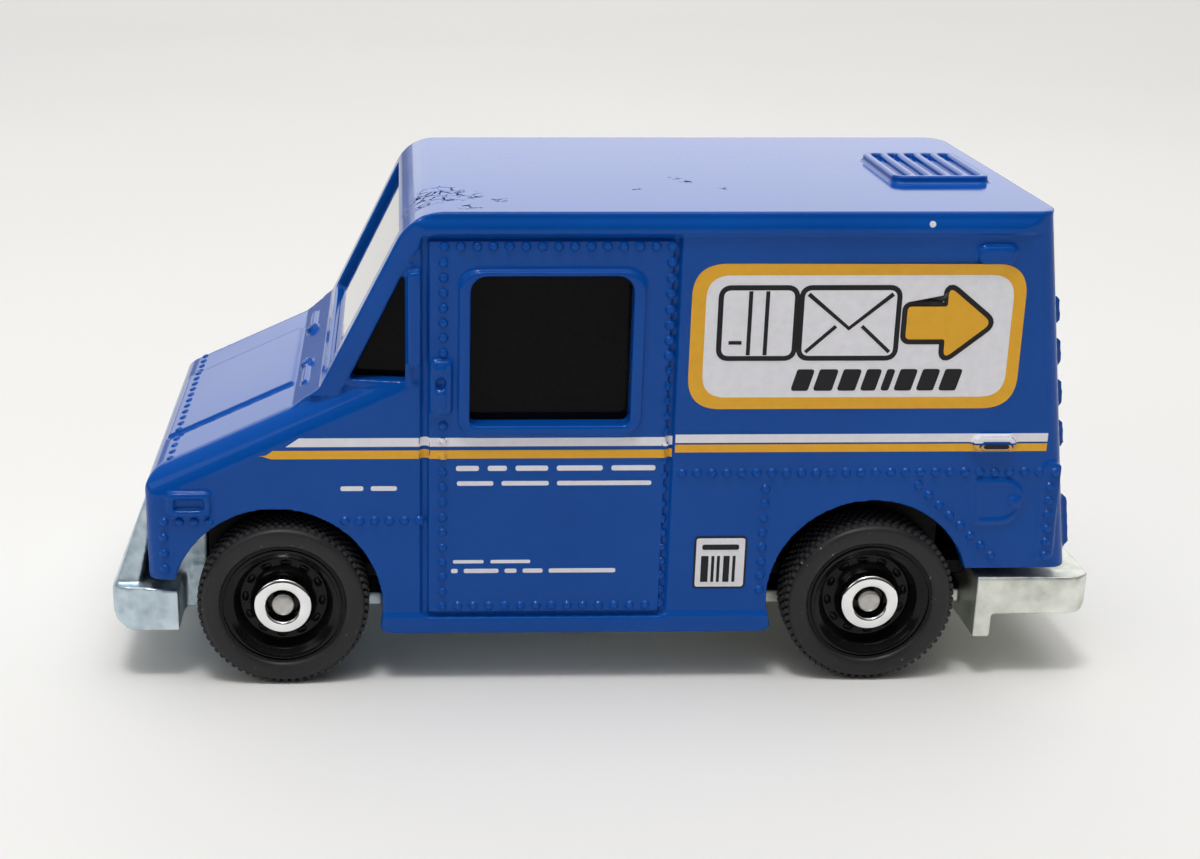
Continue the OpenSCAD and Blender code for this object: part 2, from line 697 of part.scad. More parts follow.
module axle(x) {
    half = tyre_out - hub_seat + side_gap + head_t;
    color(steel) translate([x, 0, tyre_r]) rotate([90, 0, 0]) {
        translate([0, 0, -half]) cylinder(d = axle_d, h = 2 * half);
        for (s = [-1, 1]) translate([0, 0, s * (half - head_t / 2) - head_t / 2])
            cylinder(d = axle_head_d, h = head_t);
    }
}
module front_axle() { axle(fx); }
module rear_axle() { axle(rx); }

// Places a wheel part: local +X is the radius and +Y runs inwards from the outer face
module at_wheel(x, side) {
    translate([x, side * tyre_out, tyre_r]) rotate([side * 90, 0, 0]) rotate_extrude($fn = 96) children();
}
module tyre(x, side) {
    r = tyre_r;
    seat = rim_d / 2;
    t = r - seat;
    wall_r = r - 0.375 * t;
    color(charcoal) at_wheel(x, side)
        polygon([[seat, 0.25], [seat + 0.19 * t, 0.08], [wall_r - 0.16 * t, 0], [wall_r, 0.06],
                 [r - 0.125 * t, 0.4], [r, 0.85], [r, tyre_w - 0.85], [r - 0.125 * t, tyre_w - 0.4],
                 [wall_r, tyre_w], [seat, tyre_w - 0.1]]);
}
module rim(x, side) {
    seat = rim_d / 2;
    bore = axle_d / 2 + run_gap;
    ring = hub_d / 2;
    color(black) at_wheel(x, side)
        polygon([[seat, 0.25], [seat - 0.25, 0.12], [seat - 0.45, 0.3], [seat - 0.75, 0.35], [seat
            - 0.95, 1.1],
                 [ring + 0.35, 1.5], [ring, hub_seat], [bore, hub_seat], [bore, rim_in], [ring, rim_in],
                 [ring, 2.3], [seat - 0.8, 2.1], [seat - 0.6, tyre_w - 0.1], [seat, tyre_w - 0.1]]);
}
module hub(x, side) {
    r0 = hub_hole_d / 2;
    r1 = hub_d / 2;
    color(chrome) at_wheel(x, side)
        polygon([[r0, hub_seat], [r0, 0.2], [r0 + 0.1, 0.06], [r0 + 0.35, 0], [r1 - 0.3, 0.1],
                 [r1 - 0.08, 0.35], [r1, 0.7], [r1, hub_seat]]);
}
module tyre_front_left() { tyre(fx, -1); }
module tyre_front_right() { tyre(fx, 1); }
module tyre_rear_left() { tyre(rx, -1); }
module tyre_rear_right() { tyre(rx, 1); }
module rim_front_left() { rim(fx, -1); }
module rim_front_right() { rim(fx, 1); }
module rim_rear_left() { rim(rx, -1); }
module rim_rear_right() { rim(rx, 1); }
module hub_front_left() { hub(fx, -1); }
module hub_front_right() { hub(fx, 1); }
module hub_rear_left() { hub(rx, -1); }
module hub_rear_right() { hub(rx, 1); }

body_shell();
base_plate();
window_insert();
axle_retainer();
front_rivet();
rear_rivet();
front_axle();
rear_axle();
tyre_front_left();
tyre_front_right();
tyre_rear_left();
tyre_rear_right();
rim_front_left();
rim_front_right();
rim_rear_left();
rim_rear_right();
hub_front_left();
hub_front_right();
hub_rear_left();
hub_rear_right();
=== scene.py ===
import math
import random

import bmesh
import bpy
from mathutils import Matrix, Vector
from mathutils.bvhtree import BVHTree


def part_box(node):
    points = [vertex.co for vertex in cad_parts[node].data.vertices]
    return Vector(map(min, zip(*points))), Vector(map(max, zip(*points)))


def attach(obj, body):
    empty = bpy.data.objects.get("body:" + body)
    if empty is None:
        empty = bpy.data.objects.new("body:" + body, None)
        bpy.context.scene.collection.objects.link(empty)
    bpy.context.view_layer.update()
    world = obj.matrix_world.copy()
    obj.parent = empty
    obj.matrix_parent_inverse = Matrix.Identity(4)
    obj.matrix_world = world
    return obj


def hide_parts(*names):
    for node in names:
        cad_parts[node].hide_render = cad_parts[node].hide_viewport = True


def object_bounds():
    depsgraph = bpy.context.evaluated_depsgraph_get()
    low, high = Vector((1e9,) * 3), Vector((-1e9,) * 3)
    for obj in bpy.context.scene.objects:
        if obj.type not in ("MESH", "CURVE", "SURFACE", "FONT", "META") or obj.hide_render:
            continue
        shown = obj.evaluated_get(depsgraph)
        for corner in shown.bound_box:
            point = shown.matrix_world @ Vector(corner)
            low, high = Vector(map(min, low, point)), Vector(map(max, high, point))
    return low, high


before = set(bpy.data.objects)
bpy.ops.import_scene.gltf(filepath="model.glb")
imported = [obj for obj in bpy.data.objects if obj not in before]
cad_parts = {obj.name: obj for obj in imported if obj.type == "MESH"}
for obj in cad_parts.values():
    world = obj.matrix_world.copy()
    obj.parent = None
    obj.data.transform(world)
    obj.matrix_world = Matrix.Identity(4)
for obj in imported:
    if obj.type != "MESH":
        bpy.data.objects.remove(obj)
cad_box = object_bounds()
MM = 0.001
rng = random.Random(7)
LEFT, RIGHT = -1, 1  # the sign of a side's y
TURNS = 120  # steps round a wheel

# ---------------------------------------------------------------- places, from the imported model
def centre(node):
    lo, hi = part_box(node)
    return (lo + hi) / 2


def span(node, axis):
    """The size in mm of a node's box along axis 0, 1 or 2."""
    lo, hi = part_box(node)
    return (hi[axis] - lo[axis]) / MM


FRONT = centre("tyre_front_left")
REAR = centre("tyre_rear_left")
MID = (FRONT.x + REAR.x) / 2
BODY_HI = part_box("body_shell")[1]


def X(mm):
    """Distance along the truck from the middle of the wheelbase, in metres."""
    return MID + mm * MM


# ---------------------------------------------------------------- objects and meshes
def put(name, mesh, body, mats=(), smooth=None):
    for m in mats:
        mesh.materials.append(m)
    o = bpy.data.objects.new(name, mesh)
    bpy.context.scene.collection.objects.link(o)
    if smooth is not None:
        mesh.polygons.foreach_set("use_smooth", [True] * len(mesh.polygons))
        mesh.set_sharp_from_angle(angle=math.radians(smooth))
    if body:
        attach(o, body)
    return o


def mesh_from(name, verts, faces):
    me = bpy.data.meshes.new(name)
    me.from_pydata([tuple(v) for v in verts], [], [tuple(f) for f in faces])
    me.update()
    bm = bmesh.new()
    bm.from_mesh(me)
    bmesh.ops.recalc_face_normals(bm, faces=bm.faces)
    bm.to_mesh(me)
    bm.free()
    return me


def evaluated(o):
    """The object's mesh with its modifiers applied, as a new mesh."""
    dg = bpy.context.evaluated_depsgraph_get()
    me = bpy.data.meshes.new_from_object(o.evaluated_get(dg))
    o.modifiers.clear()
    return me


def merge(parts):
    """One (verts, faces) out of several."""
    verts, faces = [], []
    for v, f in parts:
        n = len(verts)
        verts.extend(v)
        faces.extend([tuple(i + n for i in face) for face in f])
    return verts, faces


def fillet(pts, r, n=4):
    """A closed outline with its corners rounded; r is one radius or one for each corner."""
    out = []
    k = len(pts)
    for i, p in enumerate(pts):
        ri = r[i] if isinstance(r, (list, tuple)) else r
        a, b, c = Vector(pts[i - 1]), Vector(p), Vector(pts[(i + 1) % k])
        u, w = (a - b), (c - b)
        if ri <= 0 or u.length < 1e-9 or w.length < 1e-9:
            out.append(tuple(b))
            continue
        lu, lw = u.length, w.length
        u.normalize()
        w.normalize()
        ang = math.acos(max(-1, min(1, u.dot(w))))
        t = min(ri / max(math.tan(ang / 2), 1e-6), lu * 0.49, lw * 0.49)
        p0, p1 = b + u * t, b + w * t
        for j in range(n + 1):
            s = j / n
            q = p0 * (1 - s) ** 2 + b * 2 * s * (1 - s) + p1 * s * s
            out.append(tuple(q))
    return out


def lathe(profile, n=96):
    """A closed (r, y) outline in mm turned about the Y axis."""
    verts, faces = [], []
    k = len(profile)
    for i in range(n):
        a = 2 * math.pi * i / n
        for r, y in profile:
            verts.append((r * math.cos(a) * MM, y * MM, r * math.sin(a) * MM))
    for i in range(n):
        j = (i + 1) % n
        for p in range(k):
            q = (p + 1) % k
            faces.append((i * k + p, i * k + q, j * k + q, j * k + p))
    return verts, faces


# ---------------------------------------------------------------- materials
COAT_ROUGH = 0.05
IOR = 1.5


def material(name, colour, rough, metal=0.0):
    m = bpy.data.materials.new(name)
    m.use_nodes = True
    b = m.node_tree.nodes["Principled BSDF"]
    b.inputs["Base Color"].default_value = (*colour, 1)
    b.inputs["Roughness"].default_value = rough
    b.inputs["Metallic"].default_value = metal
    b.inputs["Coat Weight"].default_value = 0.0
    b.inputs["Coat Roughness"].default_value = COAT_ROUGH
    b.inputs["IOR"].default_value = IOR
    return m, m.node_tree, b


def node(t, kind, **values):
    n = t.nodes.new("ShaderNode" + kind)
    for k, v in values.items():
        if hasattr(n, k):
            setattr(n, k, v)
        else:
            n.inputs[k].default_value = v
    return n


def noise(t, coord, scale, detail=3.0, rough=0.55):
    n = node(t, "TexNoise")
    n.inputs["Scale"].default_value = scale
    n.inputs["Detail"].default_value = detail
    n.inputs["Roughness"].default_value = rough
    t.links.new(coord, n.inputs["Vector"])
    return n.outputs["Fac"]


def ramp(t, value, lo, hi, to_lo=0.0, to_hi=1.0):
    n = node(t, "MapRange")
    n.inputs["From Min"].default_value = lo
    n.inputs["From Max"].default_value = hi
    n.inputs["To Min"].default_value = to_lo
    n.inputs["To Max"].default_value = to_hi
    t.links.new(value, n.inputs["Value"])
    return n.outputs["Result"]


def math_node(t, op, a, b):
    n = node(t, "Math", operation=op)
    for i, v in enumerate((a, b)):
        if isinstance(v, (int, float)):
            n.inputs[i].default_value = v
        else:
            t.links.new(v, n.inputs[i])
    return n.outputs[0]


def mix(t, fac, a, b):
    n = node(t, "Mix", data_type="RGBA")
    t.links.new(fac, n.inputs["Factor"])
    for key, v in (("A", a), ("B", b)):
        s = [i for i in n.inputs if i.name == key and i.type == "RGBA"][0]
        if isinstance(v, tuple):
            s.default_value = (*v, 1)
        else:
            t.links.new(v, s)
    return [o for o in n.outputs if o.type == "RGBA"][0]


def bump(t, b, heights):
    """heights is [(value, distance in mm, strength)], chained."""
    last = None
    for value, dist, strength in heights:
        n = node(t, "Bump")
        n.inputs["Distance"].default_value = dist * MM
        n.inputs["Strength"].default_value = strength
        t.links.new(value, n.inputs["Height"])
        if last:
            t.links.new(last, n.inputs["Normal"])
        last = n.outputs["Normal"]
    t.links.new(last, b.inputs["Normal"])


def coords(t):
    return node(t, "TexCoord").outputs["Object"]


def near_point(t, coord, p, radius):
    """1 within a quarter of the radius of p, falling to 0 at the radius, in metres."""
    n = node(t, "VectorMath", operation="DISTANCE")
    t.links.new(coord, n.inputs[0])
    n.inputs[1].default_value = p
    return ramp(t, n.outputs["Value"], radius, radius * 0.25)


# Worn places in the paint, as (point, radius): crazing on the roof and one bare spot by its edge
ROOF_Z = BODY_HI.z - 0.5 * MM
CHIPS = [((X(x), y * MM, ROOF_Z), r * MM) for x, y, r in (
    (-10.4, -9.1, 2.6), (-8.3, -8.5, 2.2), (-9.5, -6.8, 1.6), (-7.5, -12.3, 1.0), (-5.4, -10.1, 0.7),
    (4.2, -6.8, 0.7), (7.6, -4.05, 0.6), (10.0, -6.1, 0.6), (7.1, -2.6, 0.6))]
BARE = ((X(22.0), -14.15 * MM, 32.1 * MM), 0.34 * MM)
CRACK_SCALE = 1150  # cells a metre
CRACK_WANDER = 0.0011


def paint():
    m, t, b = material("blue_enamel", (0.0020, 0.076, 0.382), 0.12)
    c = coords(t)
    broad = noise(t, c, 90, 3)
    fine = noise(t, c, 900, 2)
    grain = noise(t, c, 5200, 2)
    blue = mix(t, ramp(t, broad, 0.35, 0.65), (0.0018, 0.072, 0.362), (0.0023, 0.081, 0.402))
    blue = mix(t, ramp(t, grain, 0.68, 0.80, 0, 0.16), blue, (0.02, 0.14, 0.56))
    chips = None
    for p, r in CHIPS:
        v = near_point(t, c, p, r)
        chips = v if chips is None else math_node(t, "MAXIMUM", chips, v)
    crackle = node(t, "TexVoronoi", feature="DISTANCE_TO_EDGE")
    crackle.inputs["Scale"].default_value = CRACK_SCALE
    wob = node(t, "TexNoise")
    wob.inputs["Scale"].default_value = 900
    t.links.new(c, wob.inputs["Vector"])
    shift = node(t, "VectorMath", operation="MULTIPLY_ADD")
    t.links.new(wob.outputs["Color"], shift.inputs[0])
    shift.inputs[1].default_value = (CRACK_WANDER,) * 3
    t.links.new(c, shift.inputs[2])
    t.links.new(shift.outputs[0], crackle.inputs["Vector"])
    lines = ramp(t, crackle.outputs["Distance"], 0.085, 0.03)
    patchy = ramp(t, noise(t, c, 700, 3, 0.7), 0.44, 0.55)
    lines_in_patches = math_node(t, "MULTIPLY", lines, patchy)
    chipped = math_node(t, "MULTIPLY", lines_in_patches, ramp(t, chips, 0.05, 0.5))
    blue = mix(t, chipped, blue, (0.006, 0.012, 0.035))
    bare = ramp(t, near_point(t, c, *BARE), 0.45, 0.55)
    blue = mix(t, bare, blue, (0.75, 0.78, 0.80))
    t.links.new(blue, b.inputs["Base Color"])
    t.links.new(ramp(t, broad, 0.3, 0.7, 0.09, 0.14), b.inputs["Roughness"])
    t.links.new(ramp(t, chipped, 0.1, 0.6, 0.19, 0.0), b.inputs["Specular IOR Level"])
    whole = math_node(t, "SUBTRACT", 1.0, chipped)
    bump(t, b, [(fine, 0.02, 0.08), (grain, 0.004, 0.10), (whole, 0.05, 0.8)])
    return m


def zinc():
    m, t, b = material("bare_zinc", (0.52, 0.56, 0.58), 0.42, metal=1.0)
    c = coords(t)
    broad = noise(t, c, 260, 4, 0.6)
    spangle = node(t, "TexVoronoi")
    spangle.inputs["Scale"].default_value = 1500
    t.links.new(c, spangle.inputs["Vector"])
    flow = noise(t, c, 1300, 4, 0.65)
    sep = node(t, "SeparateXYZ")
    t.links.new(c, sep.inputs[0])
    # Painted reflection: the front end is darker and bluish and the rear lighter and yellowish, for what each
    # end of the bare metal reflects; broad noise mottles between the dark and light tones
    reflection_tint_rearward = ramp(t, sep.outputs["X"], X(-12), X(12))
    dark = mix(t, reflection_tint_rearward, (0.36, 0.47, 0.55), (0.55, 0.57, 0.50))
    light = mix(t, reflection_tint_rearward, (0.66, 0.79, 0.88), (0.88, 0.90, 0.82))
    col = mix(t, ramp(t, broad, 0.36, 0.64), dark, light)
    col = mix(t, ramp(t, spangle.outputs["Distance"], 0.1, 0.9, 0.0, 0.3), col, (0.93, 0.95, 0.94))
    t.links.new(col, b.inputs["Base Color"])
    t.links.new(ramp(t, flow, 0.3, 0.7, 0.34, 0.60), b.inputs["Roughness"])
    bump(t, b, [(flow, 0.06, 0.35), (broad, 0.08, 0.25)])
    return m


def black_plastic(name, rough, low, colour=(0.006, 0.006, 0.007), gloss=0.3):
    m, t, b = material(name, colour, rough)
    b.inputs["Specular IOR Level"].default_value = gloss
    c = coords(t)
    n = noise(t, c, 1100, 3)
    t.links.new(ramp(t, n, 0.3, 0.7, low, rough), b.inputs["Roughness"])
    lighter = tuple(v * 1.5 for v in colour)
    t.links.new(mix(t, ramp(t, noise(t, c, 3000, 2), 0.4, 0.7), colour, lighter), b.inputs["Base Color"])
    bump(t, b, [(n, 0.01, 0.10)])
    return m


def rubber():
    m, t, b = material("tyre_vinyl", (0.022, 0.022, 0.024), 0.50)
    b.inputs["Specular IOR Level"].default_value = 0.4
    c = coords(t)
    n = noise(t, c, 2600, 3, 0.6)
    broad = noise(t, c, 420, 3)
    specks = ramp(t, noise(t, c, 3400, 1), 0.735, 0.77)
    col = mix(t, ramp(t, broad, 0.35, 0.65), (0.013, 0.013, 0.014), (0.020, 0.020, 0.022))
    t.links.new(mix(t, specks, col, (0.22, 0.22, 0.22)), b.inputs["Base Color"])
    t.links.new(ramp(t, broad, 0.3, 0.7, 0.42, 0.58), b.inputs["Roughness"])
    bump(t, b, [(n, 0.02, 0.22)])
    return m


def chrome():
    m, t, b = material("bright_chrome", (0.90, 0.90, 0.89), 0.06, metal=1.0)
    c = coords(t)
    n = noise(t, c, 700, 3)
    t.links.new(ramp(t, n, 0.3, 0.75, 0.03, 0.10), b.inputs["Roughness"])
    t.links.new(mix(t, ramp(t, n, 0.35, 0.7), (0.93, 0.93, 0.92), (0.84, 0.84, 0.85)), b.inputs["Base Color"])
    bump(t, b, [(n, 0.02, 0.10)])
    return m


def steel():
    m, t, b = material("spun_steel", (0.52, 0.50, 0.48), 0.36, metal=1.0)
    c = coords(t)
    n = noise(t, c, 2200, 3)
    t.links.new(mix(t, ramp(t, n, 0.3, 0.7), (0.44, 0.43, 0.41), (0.62, 0.60, 0.57)), b.inputs["Base Color"])
    t.links.new(ramp(t, n, 0.3, 0.7, 0.28, 0.44), b.inputs["Roughness"])
    bump(t, b, [(n, 0.02, 0.2)])
    return m


def ink(name, colour, worn, rough=0.42):
    m, t, b = material(name, colour, rough)
    b.inputs["Specular IOR Level"].default_value = 0.3
    c = coords(t)
    n = noise(t, c, 1500, 3, 0.6)
    specks = ramp(t, noise(t, c, 4200, 2), 0.66, 0.76, 0, 0.5)
    col = mix(t, ramp(t, n, 0.3, 0.7), colour, tuple(v * 0.93 for v in colour))
    t.links.new(mix(t, specks, col, worn), b.inputs["Base Color"])
    t.links.new(ramp(t, n, 0.3, 0.7, rough - 0.06, rough + 0.08), b.inputs["Roughness"])
    bump(t, b, [(n, 0.006, 0.2)])
    return m


BLUE = paint()
ZINC = zinc()
GLASS = black_plastic("dark_glazing", 0.09, 0.04, (0.0035, 0.0035, 0.004), 0.07)
SHIELD = black_plastic("dark_windshield", 0.07, 0.03, (0.0035, 0.0035, 0.004), 0.5)
shield_shader = SHIELD.node_tree.nodes["Principled BSDF"]
shield_shader.inputs["Coat Weight"].default_value = 1.0
shield_shader.inputs["Coat IOR"].default_value = 1.55
RIM = black_plastic("black_rim", 0.22, 0.12, (0.004, 0.004, 0.0045), 0.2)
WELL = black_plastic("black_insert", 0.55, 0.42, (0.004, 0.004, 0.0045), 0.2)
TYRE = rubber()
CHROME = chrome()
STEEL = steel()
WHITE = ink("white_ink", (0.93, 0.92, 0.97), (0.68, 0.69, 0.75))
YELLOW = ink("yellow_ink", (0.92, 0.47, 0.03), (0.66, 0.36, 0.05))
BLACK = ink("black_ink", (0.010, 0.010, 0.012), (0.03, 0.03, 0.035))

# ---------------------------------------------------------------- cast parts
def softened(source, name, voxel, rounds, keep, mat):
    """A copy of a CAD node with the soft edges of a cast part; keep is the share of faces left."""
    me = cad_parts[source].data.copy()
    me.materials.clear()
    bm = bmesh.new()
    bm.from_mesh(me)
    bmesh.ops.remove_doubles(bm, verts=bm.verts, dist=1e-6)
    bm.to_mesh(me)
    bm.free()
    o = put(name, me, None)
    grid = o.modifiers.new("grid", "REMESH")
    grid.mode = "VOXEL"
    grid.voxel_size = voxel * MM
    soft = o.modifiers.new("soft", "SMOOTH")
    soft.factor = 0.5
    soft.iterations = rounds
    thin = o.modifiers.new("thin", "DECIMATE")
    thin.ratio = keep
    o.data = evaluated(o)
    for p in o.data.polygons:
        p.use_smooth = True
    o.data.materials.append(mat)
    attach(o, "chassis")
    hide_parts(source)
    return o


body = softened("body_shell", "painted_body", 0.125, 2, 0.22, BLUE)
softened("base_plate", "cast_base", 0.15, 3, 0.35, ZINC)


def tree_of(*objs):
    verts, faces = [], []
    for o in objs:
        n = len(verts)
        verts.extend(v.co.copy() for v in o.data.vertices)
        faces.extend([i + n for i in p.vertices] for p in o.data.polygons)
    return BVHTree.FromPolygons(verts, faces)


skin = tree_of(body)


def on_side(x, z, s, tree):
    """Point and outward normal of the side wall s (LEFT or RIGHT) at x and z in metres."""
    outside = 25 * MM
    hit, normal, _, _ = tree.ray_cast(Vector((x, s * outside, z)), Vector((0, -s, 0)))
    return hit, normal


# ---------------------------------------------------------------- rivets
def stud(at, normal, r, h, n=18):
    """A soft rivet head whose foot runs out into the paint."""
    w = normal.normalized()
    u = w.orthogonal().normalized()
    v = w.cross(u)
    rings = [(1.40, -0.25), (1.20, 0.06), (1.05, 0.34), (0.92, 0.66), (0.68, 0.90), (0.36, 0.98)]
    verts, faces = [], []
    for k, (rr, hh) in enumerate(rings):
        for i in range(n):
            a = 2 * math.pi * i / n
            verts.append(at + (u * math.cos(a) + v * math.sin(a)) * (r * rr) + w * (h * hh))
            if k:
                j = (i + 1) % n
                faces.append(((k - 1) * n + i, (k - 1) * n + j, k * n + j, k * n + i))
    verts.append(at + w * h)
    top = len(rings) * n - n
    faces.extend((top + i, top + (i + 1) % n, len(verts) - 1) for i in range(n))
    faces.append(tuple(reversed(range(n))))
    return verts, faces


def row(a, b, n):
    """n points from a to b."""
    return [(a[0] + (b[0] - a[0]) * i / (n - 1), a[1] + (b[1] - a[1]) * i / (n - 1)) for i in range(n)]


# (x, z) in mm: the door frame, the fender, the load box
RIVETS = (
    row((-9.15, 30.65), (5.45, 30.65), 15) + row((-9.2, 29.6), (-9.2, 23.6), 7)
    + row((-9.2, 18.6), (-9.2, 5.65), 13) + row((5.45, 29.6), (5.7, 5.65), 24)
    + row((-8.15, 5.65), (4.65, 5.65), 13)
    + row((-27.78, 11.9), (-24.77, 11.9), 4) + row((-27.85, 10.8), (-27.85, 8.5), 3)
    + row((-15.74, 11.9), (-10.75, 11.9), 6)
    + row((6.75, 15.2), (31.73, 15.2), 26) + row((12.4, 14.06), (12.4, 6.72), 8)
    + row((22.67, 14.28), (28.06, 9.15), 8) + row((31.5, 14.2), (31.68, 9.22), 6)
)
SIDE_RIVET = (0.27 * MM, 0.20 * MM)  # radius, height
HOOD_RIVET = (0.24 * MM, 0.12 * MM)
HOOD_RIVETS = 19  # in one row across the hood's front edge
parts = []
for s in (LEFT, RIGHT):
    for x, z in RIVETS:
        at, normal = on_side(X(x), z * MM, s, skin)
        if at is not None:
            parts.append(stud(at, normal, *SIDE_RIVET))
for i in range(HOOD_RIVETS):
    y = (-12 + 24 * i / (HOOD_RIVETS - 1)) * MM
    at, normal, _, _ = skin.ray_cast(Vector((X(-27.45), y, 40 * MM)), Vector((0, 0, -1)))
    if at is not None:
        parts.append(stud(at, normal, *HOOD_RIVET))
rivets = put("body_rivets", mesh_from("body_rivets", *merge(parts)), "chassis", [BLUE], 60)
relief = tree_of(body, rivets)

# ---------------------------------------------------------------- printed films
# How far a layer's face stands off the wall, in mm, from the lowest to the highest
FILM, FILM_RIM, FILM_PLATE, FILM_DARK, FILM_BARS, FILM_PICTURE, FILM_LINES = (
    0.03, 0.04, 0.045, 0.05, 0.06, 0.07, 0.085)
FILM_INTO_WALL = 0.03


def surface_y(x, z, s, tree):
    hit, _ = on_side(x, z, s, tree)
    return hit.y if hit is not None else s * BODY_HI.y


def closed_film(name, pts, quads, mat, s, lift, tree):
    """A thin printed layer over the wall: pts are (x, z) in mm, quads index them."""
    n = len(pts)
    verts = []
    for x, z in pts:
        verts.append((X(x), surface_y(X(x), z * MM, s, tree) + s * lift * MM, z * MM))
    for x, y, z in list(verts):
        verts.append((x, y - s * (lift + FILM_INTO_WALL) * MM, z))
    faces = [tuple(q) for q in quads] + [tuple(reversed([i + n for i in q])) for q in quads]
    edges = {}
    for q in quads:
        for i in range(len(q)):
            e = (q[i], q[(i + 1) % len(q)])
            edges[e] = edges.get(e, 0) + 1
    for a, b in edges:
        if (b, a) not in edges:
            faces.append((b, a, a + n, b + n))
    o = put(name, mesh_from(name, verts, faces), "chassis", [mat], 50)


def grid_film(name, left, right, low, high, nx, nz, mat, s, lift):
    """A band from x = left(v) to right(v) and z = low(x) to high(x), with v from 0 to 1 up it."""
    pts = []
    for j in range(nz + 1):
        v = j / nz
        x0, x1 = left(v), right(v)
        for i in range(nx + 1):
            x = x0 + (x1 - x0) * i / nx
            pts.append((x, low(x) + (high(x) - low(x)) * v))
    w = nx + 1
    quads = [(j * w + i, j * w + i + 1, (j + 1) * w + i + 1, (j + 1) * w + i)
             for j in range(nz) for i in range(nx)]
    closed_film(name, pts, quads, mat, s, lift, relief)


def outline_mesh(loops):
    """Triangles of a flat shape with holes: loops of (x, z)."""
    bm = bmesh.new()
    edges = []
    for loop in loops:
        vs = [bm.verts.new((x, 0, z)) for x, z in loop]
        edges += [bm.edges.new((vs[i], vs[(i + 1) % len(vs)])) for i in range(len(vs))]
    bmesh.ops.triangle_fill(bm, use_beauty=True, use_dissolve=False, edges=edges)
    bm.verts.index_update()
    pts = [(v.co.x, v.co.z) for v in bm.verts]
    tris = []
    for f in bm.faces:
        idx = [v.index for v in f.verts]
        if f.normal.y > 0:
            idx.reverse()
        tris.append(tuple(idx))
    bm.free()
    return pts, tris


def shapes_film(name, shapes, mat, s, lift, flip_at=None):
    """Several flat shapes in one layer; each is a list of loops. flip_at mirrors them about that x."""
    pts, tris = [], []
    for loops in shapes:
        p, t = outline_mesh(loops)
        n = len(pts)
        pts += p
        tris += [tuple(i + n for i in f) for f in t]
    if flip_at is not None:
        pts = [(2 * flip_at - x, z) for x, z in pts]
        tris = [tuple(reversed(f)) for f in tris]
    closed_film(name, pts, tris, mat, s, lift, skin)


def box_loop(x0, z0, x1, z1, r=0.0, n=6):
    p = [(x0, z0), (x1, z0), (x1, z1), (x0, z1)]
    return fillet(p, r, n) if r else p


def ring_of(pts, d):
    """The outline moved outwards by d (inwards if negative); counter-clockwise points."""
    out = []
    k = len(pts)
    for i in range(k):
        a, b, c = (Vector(pts[j % k]) for j in (i - 1, i, i + 1))
        u, w = (b - a), (c - b)
        if u.length < 1e-9 or w.length < 1e-9:
            out.append(tuple(b))
            continue
        u.normalize()
        w.normalize()
        n1, n2 = Vector((u.y, -u.x)), Vector((w.y, -w.x))
        m = n1 + n2
        if m.length < 1e-6:
            m = n1
        m.normalize()
        out.append(tuple(b + m * d / max(m.dot(n1), 0.35)))
    return out


BADGE = (6.84, 19.7, 28.56, 29.5)  # x0, z0, x1, z1 in mm
FIELD = (7.76, 20.5, 27.76, 28.75)
PLATE = (7.82, 6.86, 11.40, 10.67)
# The x that the right side's prints are mirrored about, so that they read the right way round
BADGE_MIDDLE = (BADGE[0] + BADGE[2]) / 2
PLATE_MIDDLE = 9.61
MARKS_MIDDLE = -1.785


def stroke(pts, w):
    """A polyline drawn as a thin flat shape."""
    left, right = [], []
    k = len(pts)
    for i in range(k):
        p = Vector(pts[i])
        d = Vector(pts[min(i + 1, k - 1)]) - Vector(pts[max(i - 1, 0)])
        d.normalize()
        n = Vector((-d.y, d.x)) * w / 2
        left.append(tuple(p + n))
        right.append(tuple(p - n))
    return right + list(reversed(left))


# Picture on the badge: a parcel, an envelope and an arrow
parcel = box_loop(8.9, 23.35, 13.5, 27.75, 0.5)
envelope = box_loop(14.15, 23.35, 20.15, 27.75, 0.5)
arrow = fillet([(20.9, 24.45), (23.5, 24.45), (23.5, 23.1), (26.5, 25.55), (23.5, 28.0), (23.5, 26.65),
                (20.9, 26.65)], [0.3, 0.2, 0.3, 0.5, 0.3, 0.2, 0.3], 6)
badge_lines = [[stroke(pts, w)] for pts, w in (
    ([(10.65, 23.4), (10.65, 27.7)], 0.26), ([(11.75, 23.4), (11.75, 27.7)], 0.26),
    ([(9.35, 24.25), (10.2, 24.25)], 0.24), ([(14.4, 27.5), (17.15, 25.2), (19.9, 27.5)], 0.28),
    ([(14.4, 23.6), (16.3, 25.35)], 0.24), ([(19.9, 23.6), (18.0, 25.35)], 0.24))]
# Slanted bars under the picture
bars = []
x = 13.6
for w in (1.15, 1.25, 1.2, 1.0, 0.55, 1.15, 1.15, 1.15):
    bars.append([fillet([(x, 20.95), (x + w, 20.95), (x + w + 0.4, 22.42), (x + 0.4, 22.42)], 0.18, 3)])
    x += w + 0.33


WORD_GAP = 0.45


def dashes(x0, x1, z0, z1, words):
    """Plain bars in place of a line of small print; words are their shares of its length."""
    total = sum(words) + WORD_GAP * (len(words) - 1)
    k = (x1 - x0) / total
    mid = (z0 + z1) / 2
    h = (z1 - z0) * 0.34
    out, x = [], x0
    for w in words:
        out.append([box_loop(x, mid - h / 2, x + w * k, mid + h / 2, h * 0.45, 4)])
        x += (w + WORD_GAP) * k
    return out


def smooth_step(t):
    """0 up to t = 0, 1 from t = 1, and a smooth rise between."""
    t = max(0.0, min(1.0, t))
    return t * t * (3 - 2 * t)


CAB_END = 6.02
BOX_START, BOX_END = 6.2, 31.05
YELLOW_START = -21.31


def taper(x):
    """1 at the yellow stripe's pointed front end, 0 from 0.9 mm behind it."""
    return 1 - smooth_step((x - YELLOW_START) / 0.9)


